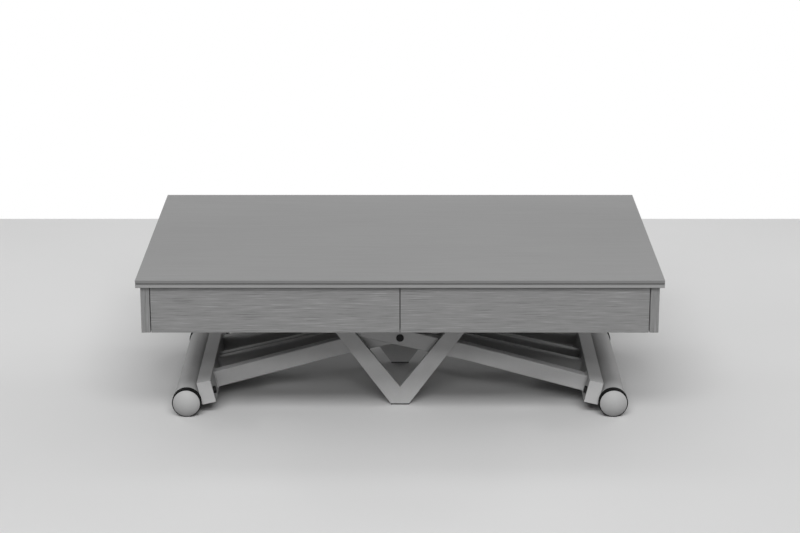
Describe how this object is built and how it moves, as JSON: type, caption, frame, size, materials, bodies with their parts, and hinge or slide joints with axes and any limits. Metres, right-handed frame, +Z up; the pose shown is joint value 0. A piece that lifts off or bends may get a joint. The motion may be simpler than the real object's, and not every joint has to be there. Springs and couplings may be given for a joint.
{
  "type": "convertible coffee dining table",
  "caption": "Convertible coffee table in grey wood and silver steel: a scissor frame on rollers lifts a box with drawers, and the folded top swivels and opens to dining size.",
  "frame": {"origin": "on the floor, under the middle of the folded top", "axes": "+X to the right along the table, +Y from the drawer side to the back, +Z up"},
  "size_m": [1.2, 0.75, 0.38],
  "materials": {
    "grey_wood": "satin",
    "inner_board": "matte",
    "silver_paint": "satin",
    "bright_steel": "brushed",
    "black_steel": "satin",
    "cover_plastic": "satin",
    "black_plastic": "matte",
    "bearing_plastic": "matte",
    "tyre_rubber": "matte",
    "pad_rubber": "matte",
    "glide_felt": "matte"
  },
  "bodies": {
    "left_axle": {"left_axle": "bright_steel"},
    "frame_a": {"a_front_arm": "silver_paint", "a_rear_arm": "silver_paint", "a_centre_bars": "silver_paint", "a_lower_crossbar": "silver_paint", "a_crossbar_bolts": "black_steel", "a_roller_tube": "silver_paint", "a_upper_shaft": "bright_steel", "pivot_shaft": "black_steel"},
    "frame_b": {"b_front_arm": "silver_paint", "b_rear_arm": "silver_paint", "b_centre_bars": "silver_paint", "b_lower_crossbar": "silver_paint", "b_crossbar_bolts": "black_steel", "b_roller_tube": "silver_paint", "b_upper_shaft": "bright_steel", "right_axle": "bright_steel"},
    "box": {"left_side_panel": "grey_wood", "right_side_panel": "grey_wood", "back_panel": "grey_wood", "front_rail": "inner_board", "centre_divider": "inner_board", "front_channel": "silver_paint", "rear_channel": "silver_paint", "front_foot": "silver_paint", "rear_foot": "silver_paint", "foot_pads": "pad_rubber", "bearing_blocks": "bearing_plastic", "gas_cylinders": "black_steel", "gas_bracket": "silver_paint", "lever_bracket": "bright_steel", "swivel_support": "inner_board", "felt_glides": "glide_felt", "drawer_guides": "bright_steel"},
    "carriage": {"slide_blocks": "bearing_plastic", "push_straps": "silver_paint", "push_yoke": "silver_paint", "gas_rods": "bright_steel"},
    "lower_top": {"lower_leaf": "grey_wood", "swivel_disc": "bright_steel", "swivel_nut": "bright_steel", "hinge_lower_plates": "bright_steel"},
    "upper_top": {"upper_leaf": "grey_wood", "hinge_upper_plates": "bright_steel"},
    "drawer_left": {"left_drawer_front": "grey_wood", "left_drawer_box": "inner_board", "left_drawer_runners": "bright_steel"},
    "drawer_right": {"right_drawer_front": "grey_wood", "right_drawer_box": "inner_board", "right_drawer_runners": "bright_steel"},
    "wheel_left_front": {"left_front_hub": "cover_plastic", "left_front_tyre": "tyre_rubber"},
    "wheel_left_rear": {"left_rear_hub": "cover_plastic", "left_rear_tyre": "tyre_rubber"},
    "wheel_right_front": {"right_front_hub": "cover_plastic", "right_front_tyre": "tyre_rubber"},
    "wheel_right_rear": {"right_rear_hub": "cover_plastic", "right_rear_tyre": "tyre_rubber"},
    "lever": {"release_lever": "black_plastic"}
  },
  "joints": [
    {"name": "lift", "type": "hinge", "parent": "left_axle", "child": "frame_a", "pos_m": [-0.50499, 0, 0.0345], "axis": [0, -1, 0], "range_deg": [0, 23.4]},
    {"name": "scissor", "type": "hinge", "parent": "frame_a", "child": "frame_b", "pos_m": [0, 0, 0.16185], "axis": [0, 1, 0], "range_deg": [0, 46.8]},
    {"name": "box_level", "type": "hinge", "parent": "frame_a", "child": "box", "pos_m": [0.50499, 0, 0.2803], "axis": [0, 1, 0], "range_deg": [0, 23.4]},
    {"name": "carriage_level", "type": "hinge", "parent": "frame_b", "child": "carriage", "pos_m": [-0.50499, 0, 0.2803], "axis": [0, -1, 0], "range_deg": [0, 23.4]},
    {"name": "top_swivel", "type": "hinge", "parent": "box", "child": "lower_top", "pos_m": [0.18625, 0.18625, 0.36], "axis": [0, 0, 1], "range_deg": [0, 90]},
    {"name": "leaf_fold", "type": "hinge", "parent": "lower_top", "child": "upper_top", "pos_m": [0, 0.3725, 0.3709], "axis": [-1, 0, 0], "range_deg": [0, 180]},
    {"name": "drawer_left_slide", "type": "slide", "parent": "box", "child": "drawer_left", "axis": [0, -1, 0], "range_m": [0, 0.115]},
    {"name": "drawer_right_slide", "type": "slide", "parent": "box", "child": "drawer_right", "axis": [0, -1, 0], "range_m": [0, 0.115]},
    {"name": "lever_pull", "type": "hinge", "parent": "box", "child": "lever", "pos_m": [-0.555, 0, 0.3], "axis": [0, 1, 0], "range_deg": [0, 8], "stiffness_Nm_per_rad": 6, "springref_deg": -5.73},
    {"name": "wheel_left_front_spin", "type": "hinge", "parent": "left_axle", "child": "wheel_left_front", "pos_m": [-0.50499, -0.233, 0.0345], "axis": [0, 1, 0], "continuous": true},
    {"name": "wheel_left_rear_spin", "type": "hinge", "parent": "left_axle", "child": "wheel_left_rear", "pos_m": [-0.50499, 0.233, 0.0345], "axis": [0, 1, 0], "continuous": true},
    {"name": "wheel_right_front_spin", "type": "hinge", "parent": "frame_b", "child": "wheel_right_front", "pos_m": [0.50499, -0.233, 0.0345], "axis": [0, 1, 0], "continuous": true},
    {"name": "wheel_right_rear_spin", "type": "hinge", "parent": "frame_b", "child": "wheel_right_rear", "pos_m": [0.50499, 0.233, 0.0345], "axis": [0, 1, 0], "continuous": true}
  ],
  "couplings": [
    {"joint": "scissor", "follows": "lift", "ratio": 2},
    {"joint": "box_level", "follows": "lift", "ratio": 1},
    {"joint": "carriage_level", "follows": "lift", "ratio": 1}
  ]
}
